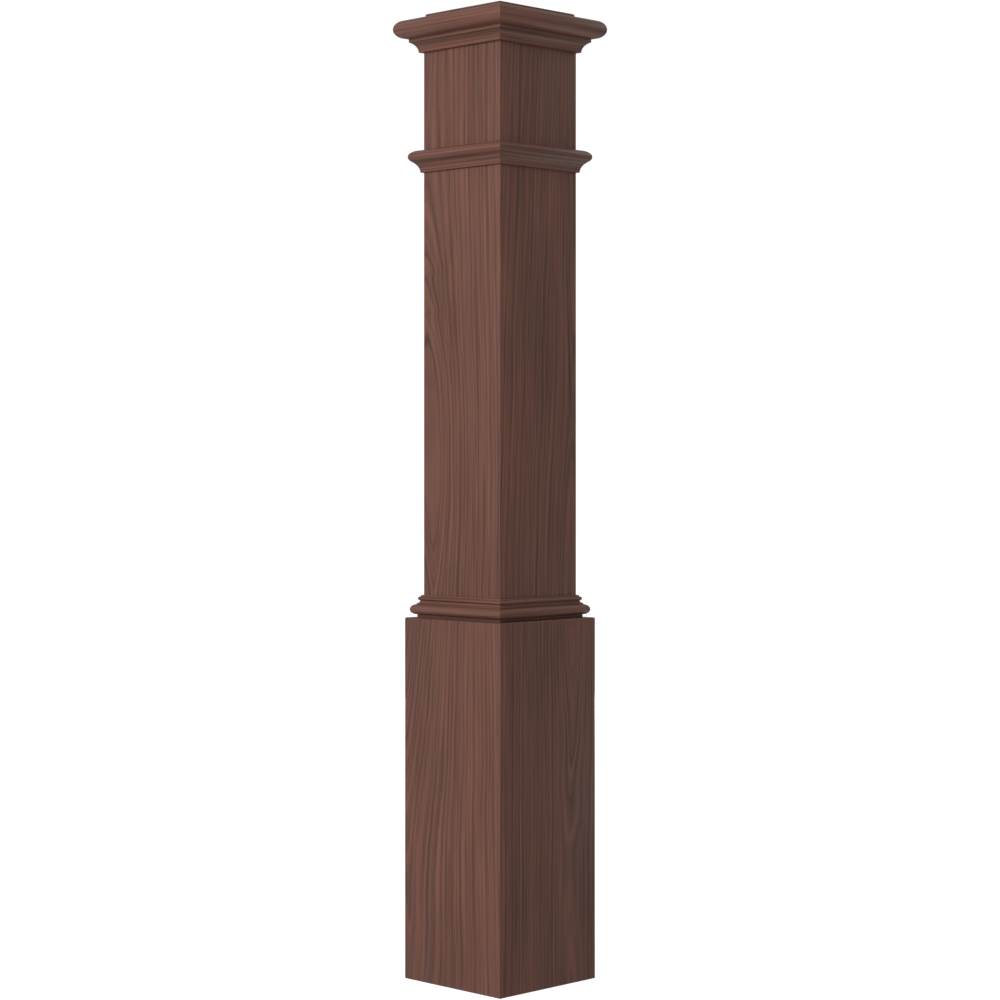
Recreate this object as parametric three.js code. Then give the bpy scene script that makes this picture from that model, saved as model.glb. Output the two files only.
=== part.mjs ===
// Square box newel post for a staircase, built up from stained boards and mouldings.
// Four mitred boards make a hollow shaft. A skirt of boards wraps its foot, and a base moulding sits on the
// skirt's ledge.
// A collar runs round the neck, and a cove moulding lies under a bullnosed cap, which a raised panel closes.
// Every course is four lengths with their ends cut at 45 degrees.
// Millimetres, +Z up, origin on the floor at the middle of the post.
import * as THREE from 'three';

// Shaft
const shaftWidth = 152.4;            // six inches across the flats
const shaftBoardThickness = 19.05;   // one-inch board planed to three quarters
const shaftHeight = 1328;            // floor to the underside of the cap

// Skirt round the foot
const skirtBoardThickness = 19.05;
const skirtHeight = 510.2;           // floor to the ledge
const skirtEdgeRadius = 1.8;         // rounding of the ledge's outer edge

// Base moulding on the ledge. Projections are measured out from the shaft's face.
const baseFootHeight = 4.4;          // recessed strip under the torus
const baseFootProjection = 6.4;
const torusDiameter = 14.2;
const torusProjection = 14.1;
const baseQuirkHeight = 1.5;         // narrow slope between the torus and the little cove
const baseCoveRadius = 3.85;
const baseNeckProjection = 3.7;      // thinnest place, where the little cove meets the bead
const baseBeadDiameter = 5.7;
const baseBeadProjection = 5.95;
const baseFilletHeight = 2;          // flat strip along the top edge
const baseFilletProjection = 2.9;

// Collar round the neck of the shaft
const collarDrop = 157.7;            // underside of the cap to the top of the collar
const collarHeight = 31.5;
const collarProjection = 16.2;       // nose of the collar's bead
const collarBeadDepth = 12.6;        // the bead is half an ellipse, deeper than it is high
const collarBeadHalfHeight = 9.35;
const collarBeadEnd = 41;            // degrees below the nose where the bead gives way to the hollow
const collarFootProjection = 3.5;
const collarHollowDepth = 25.4;      // half width of the ellipse that the hollow follows

// Cove moulding under the cap
const coveHeight = 19.7;
const coveFootProjection = 5.2;
const coveFilletHeight = 5.1;        // square strip that meets the cap
const coveFilletProjection = 15.1;

// Cap: four bullnosed rails round a square hole, and the panel that closes it
const capOverhang = 31;              // shaft's face to the nose of the cap
const capThickness = 26.2;
const capRailWidth = 57.15;
const panelThickness = 8.9;
const panelInset = 1.4;              // panel's edge, in from the line of the shaft's face
const panelEdgeRadius = 2.2;

const ARC_STEPS = 8;                 // pairs of facets along each curve of a profile

// Places that follow from the sizes above
const shaftFace = shaftWidth / 2;
const baseMouldingHeight = baseFootHeight + torusDiameter + baseQuirkHeight + baseCoveRadius
  + baseBeadDiameter + baseFilletHeight;
const collarUnderside = shaftHeight - collarDrop - collarHeight;
const coveUnderside = shaftHeight - coveHeight;
const capTop = shaftHeight + capThickness;

const radians = THREE.MathUtils.degToRad;

// Stained and lacquered wood: the upright boards, the mouldings, and the cap, which is a little lighter.
const boardWood = new THREE.MeshStandardMaterial({ color: '#6d4c42', roughness: 0.5, metalness: 0 });
const mouldingWood = new THREE.MeshStandardMaterial({ color: '#6a4a3f', roughness: 0.45, metalness: 0 });
const capWood = new THREE.MeshStandardMaterial({ color: '#705046', roughness: 0.45, metalness: 0 });

// One length of a board or moulding on the front of the post. The profile's x is the distance out from the
// post's axis and its y is the height. Each point of it runs as far sideways as it lies out from the axis,
// so both ends come out as true 45 degree mitres.
function mitredLength(profile) {
  const geometry = new THREE.ExtrudeGeometry(profile, {
    depth: 1,
    bevelEnabled: false,
    curveSegments: ARC_STEPS,
  });
  const points = geometry.getAttribute('position');
  for (let i = 0; i < points.count; i += 1) {
    const out = points.getX(i);
    const up = points.getY(i);
    const side = points.getZ(i) < 0.5 ? 1 : -1;
    points.setXYZ(i, side * out, -out, up);
  }
  geometry.computeVertexNormals();
  return geometry;
}

// A course is the same length four times, once on each side of the post.
function course(name, geometry, height, material) {
  const group = new THREE.Group();
  group.position.z = height;
  ['front', 'right', 'back', 'left'].forEach((side, turn) => {
    const length = new THREE.Mesh(geometry, material);
    length.name = `${name}_${side}`;
    length.rotation.z = turn * Math.PI / 2;
    group.add(length);
  });
  return group;
}

// The board's section is a trapezium, wide on the outside. It rises in three stretches, so that the open face
// between the base moulding and the collar is a face of its own, where a handrail can butt.
function shaftBoard() {
  const heights = [0, skirtHeight + baseMouldingHeight, collarUnderside, shaftHeight];
  const inside = shaftFace - shaftBoardThickness;
  const section = new THREE.Shape();
  section.moveTo(-shaftFace, -shaftFace);
  section.lineTo(shaftFace, -shaftFace);
  section.lineTo(inside, -inside);
  section.lineTo(-inside, -inside);
  const stretches = heights.length - 1;
  const geometry = new THREE.ExtrudeGeometry(section, {
    depth: stretches,
    steps: stretches,
    bevelEnabled: false,
  });
  const points = geometry.getAttribute('position');
  for (let i = 0; i < points.count; i += 1) {
    points.setZ(i, heights[Math.round(points.getZ(i))]);
  }
  return geometry;
}

function skirtProfile() {
  const outside = shaftFace + skirtBoardThickness;
  const shape = new THREE.Shape();
  shape.moveTo(shaftFace, 0);
  shape.lineTo(outside, 0);
  shape.absarc(outside - skirtEdgeRadius, skirtHeight - skirtEdgeRadius, skirtEdgeRadius, 0, radians(90));
  shape.lineTo(shaftFace, skirtHeight);
  return shape;
}

// From the ledge upwards: foot, torus, quirk, little cove, bead and fillet.
function baseMouldingProfile() {
  const torusRadius = torusDiameter / 2;
  const beadRadius = baseBeadDiameter / 2;
  const torusMiddle = baseFootHeight + torusRadius;
  const coveFoot = torusMiddle + torusRadius + baseQuirkHeight;
  const neck = coveFoot + baseCoveRadius;
  const beadMiddle = neck + beadRadius;
  const beadCentre = baseBeadProjection - beadRadius;
  const beadStart = -Math.acos((baseNeckProjection - beadCentre) / beadRadius);
  const shape = new THREE.Shape();
  shape.moveTo(shaftFace, 0);
  shape.lineTo(shaftFace + baseFootProjection, 0);
  shape.lineTo(shaftFace + baseFootProjection, baseFootHeight);
  shape.absarc(
    shaftFace + torusProjection - torusRadius, torusMiddle, torusRadius, radians(-90), radians(90),
  );
  shape.absarc(
    shaftFace + baseNeckProjection + baseCoveRadius, neck, baseCoveRadius, radians(270), radians(180), true,
  );
  shape.absarc(shaftFace + beadCentre, beadMiddle, beadRadius, beadStart, radians(90));
  shape.lineTo(shaftFace + baseFilletProjection, beadMiddle + beadRadius);
  shape.lineTo(shaftFace + baseFilletProjection, baseMouldingHeight);
  shape.lineTo(shaftFace, baseMouldingHeight);
  return shape;
}

// A hollow sweeps out from the foot of the collar and stops at an arris under the bead.
function collarProfile() {
  const beadCentre = collarProjection - collarBeadDepth;
  const beadMiddle = collarHeight - collarBeadHalfHeight;
  const arris = new THREE.Vector2(
    beadCentre + collarBeadDepth * Math.cos(radians(collarBeadEnd)),
    beadMiddle - collarBeadHalfHeight * Math.sin(radians(collarBeadEnd)),
  );
  const sweep = Math.acos(1 - (arris.x - collarFootProjection) / collarHollowDepth);
  const hollowHeight = arris.y / Math.sin(sweep);
  const shape = new THREE.Shape();
  shape.moveTo(shaftFace, 0);
  shape.absellipse(
    shaftFace + collarFootProjection + collarHollowDepth, 0, collarHollowDepth, hollowHeight,
    Math.PI, Math.PI - sweep, true,
  );
  shape.absellipse(
    shaftFace + beadCentre, beadMiddle, collarBeadDepth, collarBeadHalfHeight,
    radians(-collarBeadEnd), radians(90),
  );
  shape.lineTo(shaftFace, collarHeight);
  return shape;
}

// The cove leaves its foot upright and curves out to the underside of the fillet.
function coveMouldingProfile() {
  const reach = coveFilletProjection - coveFootProjection;
  const rise = coveHeight - coveFilletHeight;
  const radius = (reach ** 2 + rise ** 2) / (2 * reach);
  const sweep = Math.acos(1 - reach / radius);
  const shape = new THREE.Shape();
  shape.moveTo(shaftFace, 0);
  shape.absarc(shaftFace + coveFootProjection + radius, 0, radius, Math.PI, Math.PI - sweep, true);
  shape.lineTo(shaftFace + coveFilletProjection, coveHeight);
  shape.lineTo(shaftFace, coveHeight);
  return shape;
}

function capRailProfile() {
  const nose = shaftFace + capOverhang;
  const noseRadius = capThickness / 2;
  const shape = new THREE.Shape();
  shape.moveTo(nose - capRailWidth, 0);
  shape.absarc(nose - noseRadius, noseRadius, noseRadius, radians(-90), radians(90));
  shape.lineTo(nose - capRailWidth, capThickness);
  return shape;
}

// A flat square board with its upper edge rounded, turned as a lathe of four sides.
function capPanel() {
  const halfWidth = shaftFace - panelInset;
  const profile = new THREE.Path();
  profile.moveTo(0, 0);
  profile.lineTo(halfWidth, 0);
  profile.absarc(
    halfWidth - panelEdgeRadius, panelThickness - panelEdgeRadius, panelEdgeRadius, 0, radians(90),
  );
  profile.lineTo(0, panelThickness);
  const corners = profile.getPoints(ARC_STEPS / 2);
  corners.forEach((point) => {
    point.x *= Math.SQRT2;
  });
  const geometry = new THREE.LatheGeometry(corners, 4, Math.PI / 4);
  geometry.rotateX(Math.PI / 2);
  const panel = new THREE.Mesh(geometry, capWood);
  panel.name = 'cap_panel';
  panel.position.z = capTop;
  return panel;
}

const newelPost = new THREE.Group();
newelPost.name = 'newel_post';
newelPost.add(
  course('shaft_board', shaftBoard(), 0, boardWood),
  course('skirt_board', mitredLength(skirtProfile()), 0, boardWood),
  course('base_moulding', mitredLength(baseMouldingProfile()), skirtHeight, mouldingWood),
  course('collar_moulding', mitredLength(collarProfile()), collarUnderside, mouldingWood),
  course('cove_moulding', mitredLength(coveMouldingProfile()), coveUnderside, mouldingWood),
  course('cap_rail', mitredLength(capRailProfile()), shaftHeight, capWood),
  capPanel(),
);

export default newelPost;
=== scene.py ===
import math

import bmesh
import bpy
from mathutils import Matrix, Vector


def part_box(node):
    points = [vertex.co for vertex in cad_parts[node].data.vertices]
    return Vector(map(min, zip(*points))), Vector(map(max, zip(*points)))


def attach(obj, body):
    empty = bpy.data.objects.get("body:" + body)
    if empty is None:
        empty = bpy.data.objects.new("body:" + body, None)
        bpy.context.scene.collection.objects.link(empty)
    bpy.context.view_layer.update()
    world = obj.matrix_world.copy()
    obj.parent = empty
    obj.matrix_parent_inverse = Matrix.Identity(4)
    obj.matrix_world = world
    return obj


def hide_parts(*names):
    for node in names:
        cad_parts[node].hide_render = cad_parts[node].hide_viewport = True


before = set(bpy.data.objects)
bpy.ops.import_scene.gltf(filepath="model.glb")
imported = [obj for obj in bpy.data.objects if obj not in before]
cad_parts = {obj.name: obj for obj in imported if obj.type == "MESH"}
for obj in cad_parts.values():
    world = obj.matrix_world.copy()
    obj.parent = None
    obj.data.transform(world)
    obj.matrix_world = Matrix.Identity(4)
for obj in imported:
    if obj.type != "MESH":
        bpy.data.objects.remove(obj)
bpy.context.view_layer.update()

# Shaft boards
# The shaft is a hollow square of four planed hardwood boards, mitred along their edges and glued. The
# faces are stained reddish brown under a satin lacquer. The inside and the ends are left bare.
SIDES = ["front", "right", "back", "left"]
shaft_low, shaft_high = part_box("shaft_board_front")
shaft_half = shaft_high.x
shaft_height = shaft_high.z
shaft_thickness = shaft_high.y - shaft_low.y
sanded_corner = 0.001
weld_distance = 0.000002
straight_within = 0.00001
corner_angle = math.radians(20)
smooth_angle = math.radians(32)


def draw_section(points):
    """Draws a closed section that stands on the diagonal through the post's front right corner. A tiny
    plane is merged into its first point, and every other point is extruded from the one before."""
    corners = [Vector((out, -out, up)) for out, up in points]
    tiny = 0.0005
    bpy.ops.object.select_all(action="DESELECT")
    bpy.ops.mesh.primitive_plane_add(size=tiny, location=corners[0])
    bpy.ops.object.transform_apply(location=True)
    bpy.ops.object.mode_set(mode="EDIT")
    bpy.ops.mesh.select_mode(type="VERT")
    bpy.ops.mesh.merge(type="CENTER")
    for here, there in zip(corners, corners[1:] + corners[:1]):
        bpy.ops.mesh.extrude_region_move(TRANSFORM_OT_translate={"value": there - here})
    bpy.ops.mesh.select_all(action="SELECT")
    bpy.ops.mesh.remove_doubles(threshold=weld_distance)


def sweep_round():
    """Turns the section round the post in four steps, which makes a square ring with its sides flat."""
    bpy.ops.mesh.select_all(action="SELECT")
    bpy.ops.mesh.spin(steps=4, angle=math.tau, center=(0, 0, 0), axis=(0, 0, 1))
    bpy.ops.mesh.select_all(action="SELECT")
    bpy.ops.mesh.remove_doubles(threshold=weld_distance)
    bpy.ops.mesh.normals_make_consistent(inside=False)


def soften_edges(chosen, radius, steps):
    """Rounds the edges that chosen(edge) picks, as sandpaper does."""
    bpy.ops.mesh.select_mode(type="EDGE")
    bpy.ops.mesh.select_all(action="DESELECT")
    mesh = bmesh.from_edit_mesh(bpy.context.object.data)
    for edge in mesh.edges:
        edge.select_set(chosen(edge))
    mesh.select_flush_mode()
    bmesh.update_edit_mesh(bpy.context.object.data)
    bpy.ops.mesh.bevel(offset=radius, segments=steps, affect="EDGES", clamp_overlap=True)


def is_mitre_corner(edge):
    """An outside edge at one of the four corners of the ring."""
    on_corner = all(abs(abs(v.co.x) - abs(v.co.y)) < straight_within for v in edge.verts)
    return on_corner and edge.is_convex and edge.calc_face_angle(0) > corner_angle


def cut_mitres():
    """Saws the ring along both diagonals and keeps the front length, with its ends closed."""
    saw_tolerance = 0.0000001
    for across in (1, -1):
        diagonal = Vector((across, 1, 0)).normalized()
        bpy.ops.mesh.select_all(action="SELECT")
        bpy.ops.mesh.bisect(
            plane_co=(0, 0, 0),
            plane_no=diagonal,
            clear_outer=True,
            threshold=saw_tolerance,
        )
    bpy.ops.mesh.select_all(action="SELECT")
    bpy.ops.mesh.fill_holes(sides=0)
    bpy.ops.mesh.select_all(action="SELECT")
    bpy.ops.mesh.normals_make_consistent(inside=False)
    bpy.ops.object.mode_set(mode="OBJECT")
    bpy.ops.object.shade_smooth_by_angle(angle=smooth_angle)


def set_up_four_sides(course, finish):
    """Copies the length to all four sides and gives each copy its own wood. The first one is removed."""
    front = bpy.context.object
    for turn, side in enumerate(SIDES):
        bpy.ops.object.select_all(action="DESELECT")
        front.select_set(True)
        bpy.context.view_layer.objects.active = front
        bpy.ops.object.duplicate()
        length = bpy.context.object
        length.name = f"{course}_{side}_wood"
        length.rotation_euler.z = turn * math.pi / 2
        bpy.ops.object.transform_apply(rotation=True)
        finish(length, side, turn)
        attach(length, "root")
        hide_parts(f"{course}_{side}")
    bpy.data.objects.remove(front)


class Recipe:
    """A material's node tree, with short ways to add nodes to it and join them."""

    def __init__(self, name):
        self.material = bpy.data.materials.new(name)
        self.material.use_nodes = True
        self.tree = self.material.node_tree
        self.shader = self.tree.nodes["Principled BSDF"]

    def fill(self, socket, value):
        """Sets an input to a plain value, or joins another node's output to it."""
        if isinstance(value, bpy.types.NodeSocket):
            self.tree.links.new(value, socket)
        else:
            socket.default_value = value

    def add(self, kind, inputs=(), **settings):
        """A new node, with its settings and its inputs filled."""
        node = self.tree.nodes.new(kind)
        for name, value in settings.items():
            setattr(node, name, value)
        for name, value in dict(inputs).items():
            self.fill(node.inputs[name], value)
        return node

    def maths(self, operation, *values):
        node = self.add("ShaderNodeMath", operation=operation)
        for socket, value in zip(node.inputs, values):
            self.fill(socket, value)
        return node.outputs[0]

    def noise(self, vector, scale, detail=2, roughness=0.5):
        inputs = {"Vector": vector, "Scale": scale, "Detail": detail, "Roughness": roughness}
        return self.add("ShaderNodeTexNoise", inputs).outputs["Fac"]

    def stretched(self, vector, across, along):
        """The same coordinates, scaled across the grain and along it."""
        inputs = {"Vector": vector, "Scale": (across, across, along)}
        return self.add("ShaderNodeMapping", inputs).outputs[0]

    def remap(self, value, low, high, to_low, to_high):
        inputs = {0: value, 1: low, 2: high, 3: to_low, 4: to_high}
        return self.add("ShaderNodeMapRange", inputs).outputs[0]

    def vary(self, tone, noise, amount):
        """Raises and lowers the tone with a noise, whose values mostly lie between 0.3 and 0.7."""
        return self.maths("ADD", tone, self.remap(noise, 0.3, 0.7, -amount, amount))

    def curve(self, value, points):
        """A smooth curve through the points, which lie between 0 and 1 both ways."""
        node = self.add("ShaderNodeFloatCurve", {"Value": value})
        line = node.mapping.curves[0]
        line.points[0].location = points[0]
        line.points[1].location = points[-1]
        for point in points[1:-1]:
            line.points.new(*point)
        node.mapping.update()
        return node.outputs[0]

    def blend(self, share, first, second, way="MIX"):
        node = self.add("ShaderNodeMix", data_type="RGBA", blend_type=way, clamp_factor=True)
        self.fill(node.inputs["Factor"], share)
        self.fill(node.inputs["A"], first)
        self.fill(node.inputs["B"], second)
        return node.outputs["Result"]


# The stain at its darkest and lightest, the tints that run through it, and the colours of bare wood.
STAIN_DARK = (0.0825, 0.0413, 0.0318, 1)
STAIN_LIGHT = (0.227, 0.0986, 0.0717, 1)
STAIN_COOL = (0.93, 1, 1.08, 1)
STAIN_WARM = (1.07, 1, 0.92, 1)
BARE_DARK = (0.3, 0.185, 0.11, 1)
BARE_LIGHT = (0.5, 0.36, 0.235, 1)

# The widest span of a swell or a bend in the rings, and how far from the heart its own bends are felt.
SWELL_RANGE = 0.2
WANDER_REACH = 0.024

# How pale the wood is across one ring: a dark open-pored line first, then paler, denser wood.
RING_PALENESS = [(0, 0.3), (0.14, 0), (0.34, 0.3), (0.54, 0.8), (0.72, 1), (0.88, 0.75), (1, 0.3)]


def fading_curve(recipe, share, points, aside, reach):
    """A length that changes along the board as the points say, and fades away from the heart."""
    heights = [(place, value / SWELL_RANGE + 0.5) for place, value in points]
    value = recipe.remap(recipe.curve(share, heights), 0, 1, -SWELL_RANGE / 2, SWELL_RANGE / 2)
    spread = recipe.maths("MULTIPLY_ADD", recipe.maths("POWER", aside, 2), reach ** -2, 1)
    return recipe.maths("DIVIDE", value, spread)


def sway_grain(recipe, grain, wave):
    """Pushes the grain's coordinates about a little, so that no line runs quite straight."""
    noise = {"Vector": recipe.stretched(grain, across=14, along=5), "Scale": 1, "Detail": 3}
    sway = recipe.add("ShaderNodeTexNoise", noise).outputs["Color"]
    middle = (0.5, 0.5, 0.5)
    centred = recipe.add("ShaderNodeVectorMath", {0: sway, 1: middle}, operation="SUBTRACT").outputs[0]
    push = {0: centred, 1: (wave, wave, 0)}
    pushed = recipe.add("ShaderNodeVectorMath", push, operation="MULTIPLY").outputs[0]
    return recipe.add("ShaderNodeVectorMath", {0: grain, 1: pushed}, operation="ADD").outputs[0]


def grow_rings(recipe, grain, figure, length):
    """The tree's growth rings, cut by the board. They lie round a heart, which may bend, and swell away
    from it and back along the board. So they show as loops and flames near the heart, and as close
    straight lines further away. Returns how many rings out a point lies, and a coordinate that follows the
    rings across and the grain along."""
    wavy = sway_grain(recipe, grain, figure["wave"])
    across, inward, along = recipe.add("ShaderNodeSeparateXYZ", {0: wavy}).outputs
    share = recipe.maths("DIVIDE", along, length)
    heart = recipe.maths("MULTIPLY_ADD", share, figure["lean"], figure["heart"])
    aside = recipe.maths("SUBTRACT", across, heart)
    if "wander" in figure:
        bend = fading_curve(recipe, share, figure["wander"], aside, WANDER_REACH)
        aside = recipe.maths("SUBTRACT", aside, bend)
    behind = recipe.maths("SUBTRACT", figure["depth"], inward)
    squares = recipe.maths("ADD", recipe.maths("POWER", aside, 2), recipe.maths("POWER", behind, 2))
    out = recipe.maths("SQRT", squares)
    for reach, swells in figure["swells"]:
        out = recipe.maths("ADD", out, fading_curve(recipe, share, swells, aside, reach))
    count = recipe.maths("DIVIDE", out, figure["ring"])
    if "plain" in figure:
        low, high, least = figure["plain"]
        edge = 0.006
        stretch = [(0, 0), (low - edge, 0), (low, 1), (high, 1), (high + edge, 0), (1, 0)]
        inside = recipe.curve(share, stretch)
        count = recipe.maths("MAXIMUM", count, recipe.maths("MULTIPLY", inside, least))
    unevenness = 0.18
    uneven = recipe.maths("SINE", recipe.maths("MULTIPLY", count, 2.4))
    count = recipe.maths("MULTIPLY_ADD", uneven, unevenness, count)
    follow = recipe.add("ShaderNodeCombineXYZ", {0: count, 1: inward, 2: along}).outputs[0]
    return count, follow


def ring_tone(recipe, count, fade):
    """The rings' paleness, from 0 to 1. Each ring has a strength of its own, between fade and 1."""
    pale = recipe.curve(recipe.maths("FRACT", count), RING_PALENESS)
    number = recipe.maths("FLOOR", count)
    chance = recipe.add("ShaderNodeTexWhiteNoise", {"W": number}, noise_dimensions="1D").outputs["Value"]
    strength = recipe.remap(chance, 0, 1, fade, 1)
    darkness = recipe.maths("MULTIPLY", strength, recipe.maths("SUBTRACT", 1, pale))
    return recipe.maths("SUBTRACT", 1, darkness)


def lay_grain(recipe, lay, turn, start, face):
    """The piece's own coordinates: X across the grain, Y in from its face and Z along the grain. lay is how
    the grain lies on the front of the post, turn is the side, and start is the place across and along
    where the coordinates begin."""
    where = recipe.add("ShaderNodeTexCoord").outputs["Object"]
    upright = (lay @ Matrix.Rotation(-turn * math.pi / 2, 3, "Z")).to_euler()
    inputs = {"Vector": where, "Rotation": upright, "Location": (-start[0], face, -start[1])}
    return recipe.add("ShaderNodeMapping", inputs).outputs[0]


def stained_wood(name, lay, turn, start, face, length, figure):
    """Stained and lacquered hardwood, with the figure that this piece's place in the tree gives it."""
    recipe = Recipe(name)
    grain = lay_grain(recipe, lay, turn, start, face)

    # Every piece shows its own stretch of fibres, pores and clouds.
    elsewhere = (0.7 * turn + figure["heart"], 0.3, 1.9 * turn + 5 * figure["ring"])
    own = recipe.add("ShaderNodeMapping", {"Vector": grain, "Location": elsewhere}).outputs[0]

    count, follow = grow_rings(recipe, grain, figure, length)
    rings = ring_tone(recipe, count, fade=0.45)
    # The figure's pale value shifts the whole tone. Where it makes a front board paler or a right board
    # darker, the shift is painted light and shade.
    level = 0.635 + figure.get("pale", 0)
    contrast = figure.get("contrast", 0.4)
    tone = recipe.maths("MULTIPLY_ADD", recipe.maths("SUBTRACT", rings, 1), contrast, level)

    # Finer lines between the rings follow them, and each is strong only for part of its length.
    beside_rings = recipe.add("ShaderNodeMapping", {"Vector": follow, "Scale": (3.1, 0, 4)}).outputs[0]
    lines = recipe.noise(beside_rings, scale=1, detail=2, roughness=0.6)
    tone = recipe.vary(tone, lines, 0.29)

    # Fibres: fine streaks, short and slightly broken.
    streaks = recipe.noise(recipe.stretched(own, across=380, along=8), scale=1, detail=2, roughness=0.7)
    tone = recipe.vary(tone, streaks, 0.2)

    # Open pores: dark dashes a few millimetres long, thickest in the dark lines.
    dashes = recipe.noise(recipe.stretched(own, across=2400, along=80), scale=1, detail=1)
    thickness = recipe.remap(rings, 0.1, 1, 1, 0.3)
    pores = recipe.maths("MULTIPLY", recipe.remap(dashes, 0.58, 0.7, 0, 1), thickness)
    pore_darkness = -0.2
    tone = recipe.maths("MULTIPLY_ADD", pores, pore_darkness, tone)

    # Painted shade: the tone is darkened in bands along a moulding's creases, where shade falls.
    painted_crease_shade = -0.6
    for place, width in figure.get("creases", []):
        across = recipe.add("ShaderNodeSeparateXYZ", {0: grain}).outputs[0]
        away = recipe.maths("ABSOLUTE", recipe.maths("SUBTRACT", across, place))
        tone = recipe.maths("ADD", tone, recipe.remap(away, 0, width, painted_crease_shade, 0))

    # The stain takes unevenly, in soft clouds, and its colour runs from red to grey brown.
    clouds = recipe.noise(recipe.stretched(own, across=16, along=4), scale=1, detail=2)
    tone = recipe.vary(tone, clouds, 0.11)
    colour = recipe.blend(recipe.remap(tone, 0, 1, 0, 1), STAIN_DARK, STAIN_LIGHT)
    warmth = recipe.noise(recipe.stretched(own, across=110, along=5), scale=1, detail=3, roughness=0.6)
    tint = recipe.blend(recipe.remap(warmth, 0.25, 0.75, 0, 1), STAIN_COOL, STAIN_WARM)
    recipe.fill(recipe.shader.inputs["Base Color"], recipe.blend(1, colour, tint, way="MULTIPLY"))

    # The lacquer is satin. It is duller over the pores, and sinks a little there and over the dark lines.
    recipe.fill(recipe.shader.inputs["Roughness"], recipe.remap(pores, 0, 1, 0.36, 0.56))
    recipe.shader.inputs["Specular IOR Level"].default_value = 0.2
    relief = recipe.maths("MULTIPLY_ADD", rings, 0.4, recipe.maths("MULTIPLY", pores, -0.6))
    relief = recipe.maths("MULTIPLY_ADD", streaks, 0.25, relief)
    bump = recipe.add("ShaderNodeBump", {"Height": relief, "Strength": 0.3, "Distance": 0.00025})
    recipe.fill(recipe.shader.inputs["Normal"], bump.outputs[0])
    return recipe.material


def bare_wood(name, lay, turn, start, face, length, figure):
    """The same board where it has no finish: pale, dry and a little woolly."""
    recipe = Recipe(name)
    grain = lay_grain(recipe, lay, turn, start, face)
    count, follow = grow_rings(recipe, grain, figure, length)
    rings = ring_tone(recipe, count, fade=0.4)
    fibres = recipe.noise(recipe.stretched(grain, across=600, along=18), scale=1, detail=3)
    tone = recipe.maths("ADD", rings, recipe.remap(fibres, 0.3, 0.7, -0.45, 0.15))
    colour = recipe.blend(recipe.remap(tone, 0, 1, 0, 1), BARE_DARK, BARE_LIGHT)
    recipe.fill(recipe.shader.inputs["Base Color"], colour)
    recipe.fill(recipe.shader.inputs["Roughness"], recipe.remap(fibres, 0.3, 0.7, 0.7, 0.9))
    bump = recipe.add("ShaderNodeBump", {"Height": fibres, "Strength": 0.5, "Distance": 0.0004})
    recipe.fill(recipe.shader.inputs["Normal"], bump.outputs[0])
    return recipe.material


GRAIN_UP = Matrix.Identity(3)

# How each board was cut from its tree, in metres. The heart lies at "heart" across the board's low end,
# has moved by "lean" at its high end, wanders on the way, and lies at "depth" behind the face. "swells"
# pairs how far across the board a swell reaches with its height at shares of the length. "plain" is the
# stretch between two such shares where no ring counts less than its last number.
shaft_figures = {
    "front": {
        "heart": -0.072,
        "lean": 0,
        "wander": [
            (0, 0.008), (0.36, 0.017), (0.46, 0.0225), (0.52, 0.019), (0.6, 0.0104),
            (0.665, 0.0054), (0.69, 0.003), (0.701, 0.0005), (0.71, 0.0065), (0.721, 0.0005),
            (0.744, -0.001), (0.753, 0.006), (0.765, 0), (0.8, 0), (0.86, 0.001), (1, 0.004),
        ],
        "depth": 0.008,
        "swells": [
            (0.032, [
                (0, 0.035), (0.376, 0.023), (0.424, 0.0194), (0.462, 0.0113), (0.482, 0.006),
                (0.505, 0.001), (0.527, -0.002), (0.565, -0.0045), (0.602, -0.0045), (0.64, -0.0015),
                (0.66, 0.0011), (0.676, 0.0045), (0.692, 0.0082), (0.72, 0.0145), (0.75, 0.0205),
                (0.79, 0.026), (0.858, 0.029), (1, 0.026),
            ]),
            (0.09, [
                (0, 0.01), (0.4, 0.006), (0.54, 0), (0.64, 0.006), (0.685, 0.0115), (0.75, 0.0127),
                (0.86, 0.0174), (1, 0.021),
            ]),
        ],
        "ring": 0.0076,
        "wave": 0.009,
        "plain": (0.45, 0.7, 2.64),
        "contrast": 0.37,
        "pale": -0.01,
    },
    "right": {
        "heart": 0.048,
        "lean": 0.035,
        "depth": 0.008,
        "swells": [
            (0.04, [
                (0, 0.012), (0.3, 0.006), (0.407, 0.0025), (0.452, 0.0015), (0.49, 0.002),
                (0.527, 0.0045), (0.565, 0.008), (0.602, 0.0098), (0.62, 0.0087), (0.64, 0.0065),
                (0.68, 0), (0.753, -0.0115), (0.858, -0.027), (1, -0.042),
            ]),
            (0.12, [(0, 0), (0.5, 0), (0.6, 0.002), (0.86, 0.022), (1, 0.03)]),
        ],
        "ring": 0.0074,
        "wave": 0.009,
    },
    "back": {
        "heart": 0.02,
        "lean": 0.01,
        "depth": 0.01,
        "swells": [(0.06, [(0, -0.03), (0.3, 0.004), (0.5, -0.006), (0.75, 0.02), (1, 0.05)])],
        "ring": 0.0074,
        "wave": 0.01,
    },
    "left": {
        "heart": -0.03,
        "lean": 0.016,
        "depth": 0.01,
        "swells": [(0.05, [(0, 0.03), (0.35, -0.01), (0.6, 0.01), (0.8, -0.008), (1, -0.02)])],
        "ring": 0.0076,
        "wave": 0.01,
    },
}


def leave_bare(piece, hidden, name, lay, turn, start, face, length, figure):
    """Gives the faces that hidden(centre, normal) picks the bare wood."""
    piece.data.materials.append(bare_wood(name, lay, turn, start, face, length, figure))
    for facet in piece.data.polygons:
        if hidden(facet.center, facet.normal):
            facet.material_index = 1


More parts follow.
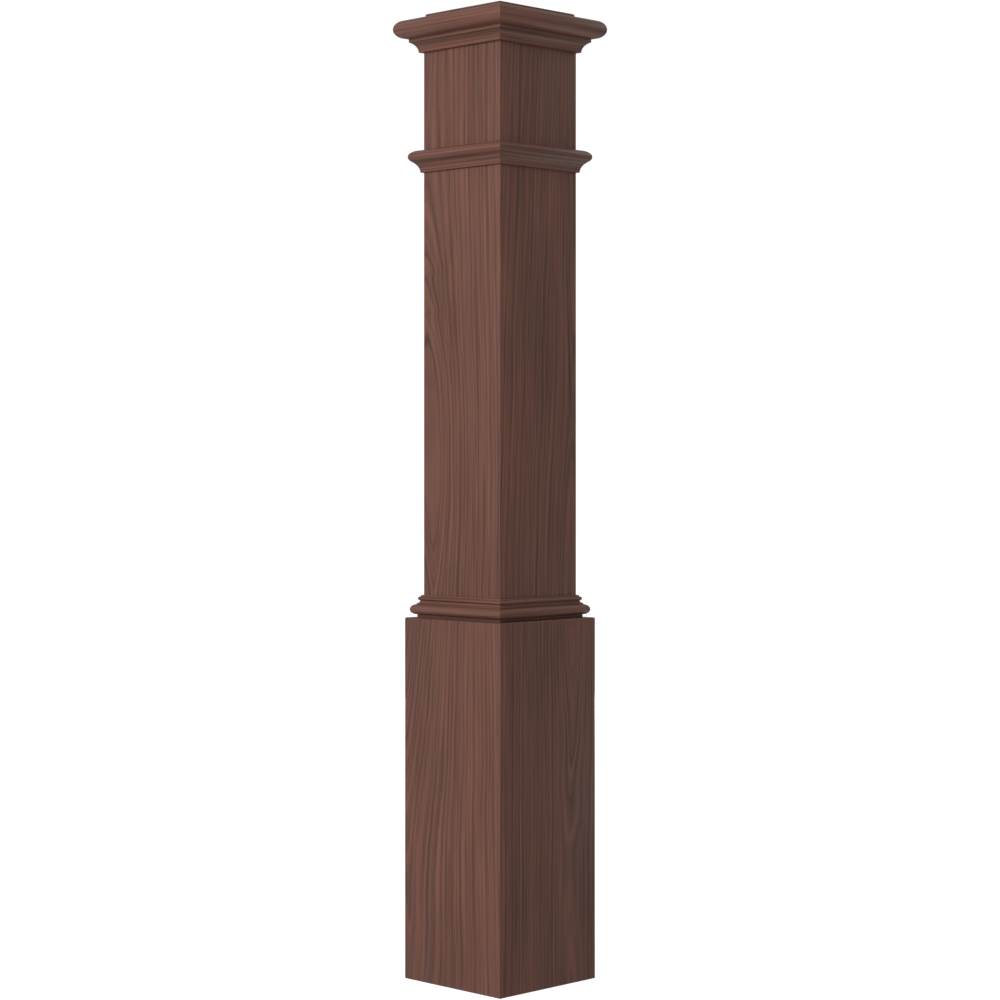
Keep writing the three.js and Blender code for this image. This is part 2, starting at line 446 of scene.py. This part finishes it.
def finish_shaft_board(board, side, turn):
    laid = (GRAIN_UP, turn, (0, 0), shaft_half, shaft_height, shaft_figures[side])
    board.data.materials.append(stained_wood(f"shaft {side} stained wood", *laid))

    def hidden(centre, normal):
        inside = max(abs(centre.x), abs(centre.y)) < shaft_half - sanded_corner
        at_end = abs(normal.z) > 0.9
        return inside or at_end

    leave_bare(board, hidden, f"shaft {side} bare wood", *laid)


draw_section([
    (shaft_half - shaft_thickness, 0),
    (shaft_half, 0),
    (shaft_half, shaft_height),
    (shaft_half - shaft_thickness, shaft_height),
])
sweep_round()
soften_edges(is_mitre_corner, sanded_corner, 4)
cut_mitres()
set_up_four_sides("shaft_board", finish_shaft_board)

# Skirt
# Four wider boards of the same wood are glued round the foot of the shaft, mitred like it. Their top
# ends make a flat ledge with its outer edge sanded round.
skirt_low, skirt_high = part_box("skirt_board_front")
skirt_half = skirt_high.x
skirt_height = skirt_high.z
ledge_rounding = 0.0018
skirt_figures = {
    "front": {
        "heart": -0.084,
        "lean": -0.02,
        "depth": 0.008,
        "swells": [
            (0.08, [
                (0, 0.068), (0.102, 0.0644), (0.32, 0.0595), (0.45, 0.0521), (0.59, 0.04),
                (0.78, 0.021), (1, 0),
            ]),
        ],
        "ring": 0.0068,
        "wave": 0.012,
        # Painted light: the lit front board is made paler.
        "pale": 0.03,
    },
    "right": {
        "heart": 0.043,
        "lean": 0.004,
        "wander": [
            (0, 0.002), (0.3, -0.002), (0.4, 0), (0.47, 0.003), (0.55, -0.001), (0.7, 0.004), (1, 0),
        ],
        "depth": 0.008,
        "swells": [
            (0.022, [
                (0, 0.0142), (0.1, 0.0146), (0.2, 0.0155), (0.3, 0.017), (0.35, 0.0178), (0.372, 0.0178),
                (0.394, 0.017), (0.48, 0.013), (0.62, 0.0085), (0.8, 0.001), (1, -0.006),
            ]),
        ],
        "ring": 0.0068,
        "wave": 0.01,
        # Painted shade: the shaded right board is made darker.
        "pale": -0.02,
    },
    "back": {
        "heart": 0.03,
        "lean": -0.02,
        "depth": 0.01,
        "swells": [(0.05, [(0, 0.02), (0.4, -0.008), (0.8, 0.006), (1, -0.004)])],
        "ring": 0.0066,
        "wave": 0.01,
    },
    "left": {
        "heart": -0.05,
        "lean": 0.02,
        "depth": 0.01,
        "swells": [(0.05, [(0, -0.02), (0.4, -0.004), (0.8, 0.016), (1, 0.026)])],
        "ring": 0.0064,
        "wave": 0.01,
    },
}


def arc(out, up, radii, start, end, steps):
    """Points of an ellipse's arc round (out, up), from the start angle to the end angle in degrees."""
    turn = (end - start) / steps
    angles = [math.radians(start + turn * step) for step in range(steps + 1)]
    return [(out + radii[0] * math.cos(a), up + radii[1] * math.sin(a)) for a in angles]


def finish_skirt_board(board, side, turn):
    laid = (GRAIN_UP, turn, (0, 0), skirt_half, skirt_height, skirt_figures[side])
    board.data.materials.append(stained_wood(f"skirt {side} stained wood", *laid))

    def hidden(centre, normal):
        on_floor = normal.z < -0.9
        return on_floor

    leave_bare(board, hidden, f"skirt {side} bare wood", *laid)


ledge_edge_out = skirt_half - ledge_rounding
ledge_edge_up = skirt_height - ledge_rounding

draw_section([
    (shaft_half, 0),
    (skirt_half, 0),
    *arc(ledge_edge_out, ledge_edge_up, (ledge_rounding, ledge_rounding), 0, 90, steps=8),
    (shaft_half, skirt_height),
])
sweep_round()
soften_edges(is_mitre_corner, sanded_corner, 4)
cut_mitres()
set_up_four_sides("skirt_board", finish_skirt_board)

# Base moulding
# A moulded strip runs round the shaft on the ledge, mitred at the corners and pinned. From the bottom
# it has a recessed foot, a torus, a small cove, a bead and a fillet.
base_low, base_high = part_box("base_moulding_front")
ledge = base_low.z
torus_radius = 0.0071
torus_nose = base_high.x
foot_projection = 0.0064
foot_height = 0.0044
small_cove_radius = 0.00385
neck_projection = 0.0037
bead_radius = 0.00285
bead_projection = 0.00595
top_fillet_height = 0.002
top_fillet_projection = 0.0029
torus_middle = ledge + foot_height + torus_radius
bead_middle = base_high.z - top_fillet_height - bead_radius
neck = bead_middle - bead_radius
small_cove_out = shaft_half + neck_projection + small_cove_radius
bead_centre = bead_projection - bead_radius
bead_start = -math.degrees(math.acos((neck_projection - bead_centre) / bead_radius))
eased_arris = 0.0003
moulding_corner = 0.0005
arris_angle = math.radians(35)
GRAIN_LEVEL = Matrix.Rotation(math.pi / 2, 3, "Y")


def is_arris(edge):
    """A sharp edge that runs along a side and sticks out."""
    first, second = edge.verts
    level = abs(first.co.z - second.co.z) < straight_within
    along = min(abs(first.co.x - second.co.x), abs(first.co.y - second.co.y)) < straight_within
    return level and along and edge.is_convex and edge.calc_face_angle(0) > arris_angle


def run_moulding():
    """Sweeps the section round the post, eases its arrises and corners, and mitres it."""
    sweep_round()
    soften_edges(is_arris, eased_arris, 2)
    soften_edges(is_mitre_corner, moulding_corner, 2)
    cut_mitres()


def moulding_figure(heart, depth):
    """A strip sawn well away from the heart, whose streaks run straight along it."""
    return {"heart": heart, "lean": 0, "depth": depth, "swells": [], "ring": 0.0038, "wave": 0.0012}


def finish_moulding(course, low, high, hearts, paleness, creases=()):
    """The finishing of one course, whose four lengths come from different places in the tree."""
    least_depth = 0.05
    depth_step = 0.011

    def finish(length, side, turn):
        figure = moulding_figure(hearts[turn], least_depth + depth_step * turn)
        # On some courses paleness makes the lit front length paler and the shaded right length darker:
        # painted light and shade.
        figure["pale"] = paleness[turn]
        figure["creases"] = creases
        start = ((low.z + high.z) / 2, -high.x)
        laid = (GRAIN_LEVEL, turn, start, high.x, 2 * high.x, figure)
        length.data.materials.append(stained_wood(f"{course} {side} stained wood", *laid))

    return finish


draw_section([
    (shaft_half, ledge),
    (shaft_half + foot_projection, ledge),
    (shaft_half + foot_projection, ledge + foot_height),
    *arc(torus_nose - torus_radius, torus_middle, (torus_radius, torus_radius), -90, 90, steps=28),
    *arc(small_cove_out, neck, (small_cove_radius, small_cove_radius), 270, 180, steps=14),
    *arc(shaft_half + bead_centre, bead_middle, (bead_radius, bead_radius), bead_start, 90, steps=20),
    (shaft_half + top_fillet_projection, bead_middle + bead_radius),
    (shaft_half + top_fillet_projection, base_high.z),
    (shaft_half, base_high.z),
])
run_moulding()
base_hearts = [-0.09, 0.1, -0.11, 0.08]
# Painted light and shade: the lit front length is made paler and the shaded right length darker than the
# back and left.
base_tone_and_painted_light = [0.18, 0.06, 0.1, 0.1]
# Painted shade: dark bands along the recessed foot under the torus and along the neck under the bead.
base_shaded_creases = [(-0.0137, 0.004), (0.0083, 0.002)]
finish = finish_moulding("base moulding", base_low, base_high, base_hearts, base_tone_and_painted_light, base_shaded_creases)
set_up_four_sides("base_moulding", finish)

# Collar
# A second moulding runs round the neck of the shaft. A hollow sweeps out from its foot to an arris, and
# a fat half-elliptical bead lies above that.
collar_low, collar_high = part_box("collar_moulding_front")
collar_bead_depth = 0.0126
collar_bead_half_height = 0.00935
collar_bead_end = 41
collar_foot_projection = 0.0035
collar_hollow_depth = 0.0254
bead_out = collar_high.x - collar_bead_depth
bead_up = collar_high.z - collar_bead_half_height
arris_out = bead_out + collar_bead_depth * math.cos(math.radians(collar_bead_end))
arris_up = bead_up - collar_bead_half_height * math.sin(math.radians(collar_bead_end))
hollow_out = shaft_half + collar_foot_projection + collar_hollow_depth
hollow_sweep = math.acos((hollow_out - arris_out) / collar_hollow_depth)
hollow_height = (arris_up - collar_low.z) / math.sin(hollow_sweep)
hollow_end = 180 - math.degrees(hollow_sweep)

draw_section([
    (shaft_half, collar_low.z),
    *arc(hollow_out, collar_low.z, (collar_hollow_depth, hollow_height), 180, hollow_end, steps=20),
    *arc(bead_out, bead_up, (collar_bead_depth, collar_bead_half_height), -collar_bead_end, 90, steps=28),
    (shaft_half, collar_high.z),
])
run_moulding()
collar_hearts = [0.1, -0.085, 0.09, -0.1]
# Painted light and shade: the lit front length is made paler and the shaded right length darker than the
# back and left.
collar_painted_light_and_shade = [0.09, -0.02, 0, 0]
finish = finish_moulding("collar", collar_low, collar_high, collar_hearts, collar_painted_light_and_shade)
set_up_four_sides("collar_moulding", finish)

# Cove moulding
# A plain cove with a square fillet fills the corner under the cap. It curves out from its foot on the
# shaft, and its fillet is pinned up against the cap.
cove_low, cove_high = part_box("cove_moulding_front")
cove_foot_projection = 0.0052
cove_fillet_height = 0.0051
reach = cove_high.x - shaft_half - cove_foot_projection
rise = cove_high.z - cove_low.z - cove_fillet_height
cove_radius = (reach ** 2 + rise ** 2) / (2 * reach)
cove_sweep = math.degrees(math.acos(1 - reach / cove_radius))
cove_out = shaft_half + cove_foot_projection + cove_radius

draw_section([
    (shaft_half, cove_low.z),
    *arc(cove_out, cove_low.z, (cove_radius, cove_radius), 180, 180 - cove_sweep, steps=24),
    (cove_high.x, cove_high.z),
    (shaft_half, cove_high.z),
])
run_moulding()
cove_hearts = [-0.1, 0.11, -0.08, 0.09]
cove_paleness = [0.03, 0.03, 0, 0]
finish = finish_moulding("cove", cove_low, cove_high, cove_hearts, cove_paleness)
set_up_four_sides("cove_moulding", finish)

# Cap rails
# Four thick lengths with a full bullnose overhang the shaft all round. They are mitred like a picture
# frame and leave a square hole in the middle.
rail_low, rail_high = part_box("cap_rail_front")
nose_radius = (rail_high.z - rail_low.z) / 2
nose_out = rail_high.x - nose_radius
nose_up = rail_low.z + nose_radius
rail_width = 0.05715

draw_section([
    (rail_high.x - rail_width, rail_low.z),
    *arc(nose_out, nose_up, (nose_radius, nose_radius), -90, 90, steps=32),
    (rail_high.x - rail_width, rail_high.z),
])
run_moulding()
rail_hearts = [-0.07, 0.08, 0.07, -0.09]
# Painted light and shade: the lit front length is made paler and the shaded right length darker than the
# back and left, whose shared value makes the cap wood paler.
rail_tone_and_painted_light = [0.17, 0.06, 0.12, 0.12]
finish = finish_moulding("cap rail", rail_low, rail_high, rail_hearts, rail_tone_and_painted_light)
set_up_four_sides("cap_rail", finish)

# Cap panel
# A flat square board of the same wood closes the cap. It is glued over the hole, its upper edge is
# rounded, and its grain runs from side to side.
panel_low, panel_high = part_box("cap_panel")
panel_rounding = 0.0022
panel_edge_out = panel_high.x - panel_rounding
panel_edge_up = panel_high.z - panel_rounding
flat_angle = math.radians(0.5)

draw_section([
    (0, panel_low.z),
    (panel_high.x, panel_low.z),
    *arc(panel_edge_out, panel_edge_up, (panel_rounding, panel_rounding), 0, 90, steps=8),
    (0, panel_high.z),
])
sweep_round()
soften_edges(is_mitre_corner, sanded_corner, 3)

# The sweep leaves seams across the flat faces, which are dissolved.
bpy.ops.mesh.select_all(action="SELECT")
bpy.ops.mesh.dissolve_limited(angle_limit=flat_angle)
bpy.ops.mesh.select_all(action="SELECT")
bpy.ops.mesh.delete_loose()
bpy.ops.object.mode_set(mode="OBJECT")
bpy.ops.object.shade_smooth_by_angle(angle=smooth_angle)
panel = bpy.context.object
panel.name = "cap_panel_wood"
panel_figure = {
    "heart": 0.01,
    "lean": 0.01,
    "depth": 0.02,
    "swells": [(0.05, [(0, -0.004), (0.5, 0.003), (1, 0.012)])],
    "ring": 0.0055,
    "wave": 0.008,
}
face_up = GRAIN_LEVEL @ Matrix.Rotation(math.pi / 2, 3, "X")
laid = (face_up, 0, (0, -panel_high.x), panel_high.z, 2 * panel_high.x, panel_figure)
panel.data.materials.append(stained_wood("cap panel stained wood", *laid))
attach(panel, "root")
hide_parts("cap_panel")

# Floor and studio
# A plain pale floor and a plain white backdrop, lit evenly from all round. A large soft lamp lights the
# front, a smaller one beside the camera fills the right side, and a third lights the back. Two faint
# reflectors behind the post lay a thin sheen on the mouldings and the ledge.
floor_radius = 20
floor_drop = 0.0005
bpy.ops.object.select_all(action="DESELECT")
bpy.ops.mesh.primitive_circle_add(
    vertices=96,
    radius=floor_radius,
    fill_type="NGON",
    location=(0, 0, -floor_drop),
)
floor = bpy.context.object
floor.name = "floor"
bpy.ops.object.transform_apply(location=True)
floor_paint = Recipe("floor paint")
floor_paint.shader.inputs["Base Color"].default_value = (0.8, 0.8, 0.8, 1)
floor_paint.shader.inputs["Roughness"].default_value = 0.9
floor_paint.shader.inputs["Specular IOR Level"].default_value = 0
floor_paint.shader.inputs["Emission Color"].default_value = (1, 1, 1, 1)
floor_paint.shader.inputs["Emission Strength"].default_value = 0.78
floor.data.materials.append(floor_paint.material)
floor.visible_diffuse = False
floor.visible_glossy = False

backdrop_radius = 30
bpy.ops.mesh.primitive_ico_sphere_add(subdivisions=3, radius=backdrop_radius, location=(0, 0, 0))
backdrop = bpy.context.object
backdrop.name = "backdrop"
bpy.ops.object.mode_set(mode="EDIT")
bpy.ops.mesh.select_all(action="SELECT")
bpy.ops.mesh.flip_normals()
bpy.ops.object.mode_set(mode="OBJECT")
backdrop_paint = Recipe("backdrop paint")
backdrop_paint.shader.inputs["Base Color"].default_value = (0, 0, 0, 1)
backdrop_paint.shader.inputs["Specular IOR Level"].default_value = 0
backdrop_paint.shader.inputs["Emission Color"].default_value = (1, 1, 1, 1)
backdrop_paint.shader.inputs["Emission Strength"].default_value = 1.05
backdrop.data.materials.append(backdrop_paint.material)
backdrop.visible_diffuse = False
backdrop.visible_glossy = False
backdrop.visible_shadow = False

world = bpy.data.worlds.new("studio")
world.use_nodes = True
world.node_tree.nodes["Background"].inputs["Color"].default_value = (1, 1, 1, 1)
world.node_tree.nodes["Background"].inputs["Strength"].default_value = 0.4
bpy.context.scene.world = world


def soft_light(name, place, target, width, watts):
    """A square soft lamp at its place, turned to its target."""
    lamp = bpy.data.lights.new(name, "AREA")
    lamp.shape = "SQUARE"
    lamp.size = width
    lamp.energy = watts
    holder = bpy.data.objects.new(name, lamp)
    bpy.context.scene.collection.objects.link(holder)
    holder.location = place
    holder.rotation_euler = (Vector(target) - Vector(place)).to_track_quat("-Z", "Y").to_euler()
    return holder


soft_light("key", place=(0.35, -3.8, 2.05), target=(0, 0, 0.9), width=2.2, watts=98)
soft_light("fill", place=(3.2, -3.2, 1.3), target=(0, 0, 0.9), width=1.2, watts=20)
low_glow = soft_light("low reflector", place=(0.3, 1.35, 0.02), target=(0.3, 1.35, 1), width=1, watts=3.2)
low_glow.visible_camera = False
high_glow = soft_light("high reflector", place=(0.15, 1.2, 1.7), target=(0, 0, 0.52), width=0.5, watts=1.1)
high_glow.visible_camera = False
back_fill = soft_light("back fill", place=(-2.4, 3.4, 1), target=(0, 0, 0.7), width=1.6, watts=44)
back_fill.visible_camera = False
back_fill.visible_glossy = False

# Camera
# It stands level in front of the post's corner. Its distance makes the shaft as wide as in the
# photograph, and its height puts the foot of the side corners in the same row. The sensor is 36 mm wide.
focal_pixels = 2458
image_width = 1000
horizon_row = 456.6
floor_row = 978.1
shaft_width_pixels = 152.42
sensor_width = 36
camera_distance = focal_pixels * 2 * math.sqrt(2) * shaft_half / shaft_width_pixels
pixels_per_metre = focal_pixels / camera_distance
camera_height = (floor_row - horizon_row) / pixels_per_metre
lens = bpy.data.cameras.new("camera")
lens.sensor_width = sensor_width
lens.lens = sensor_width * focal_pixels / image_width
lens.shift_y = (horizon_row - image_width / 2) / image_width
camera = bpy.data.objects.new("camera", lens)
bpy.context.scene.collection.objects.link(camera)
camera.location = (camera_distance / math.sqrt(2), -camera_distance / math.sqrt(2), camera_height)
camera.rotation_euler = (math.pi / 2, 0, math.pi / 4)
bpy.context.scene.camera = camera
bpy.context.scene.view_settings.view_transform = "Standard"
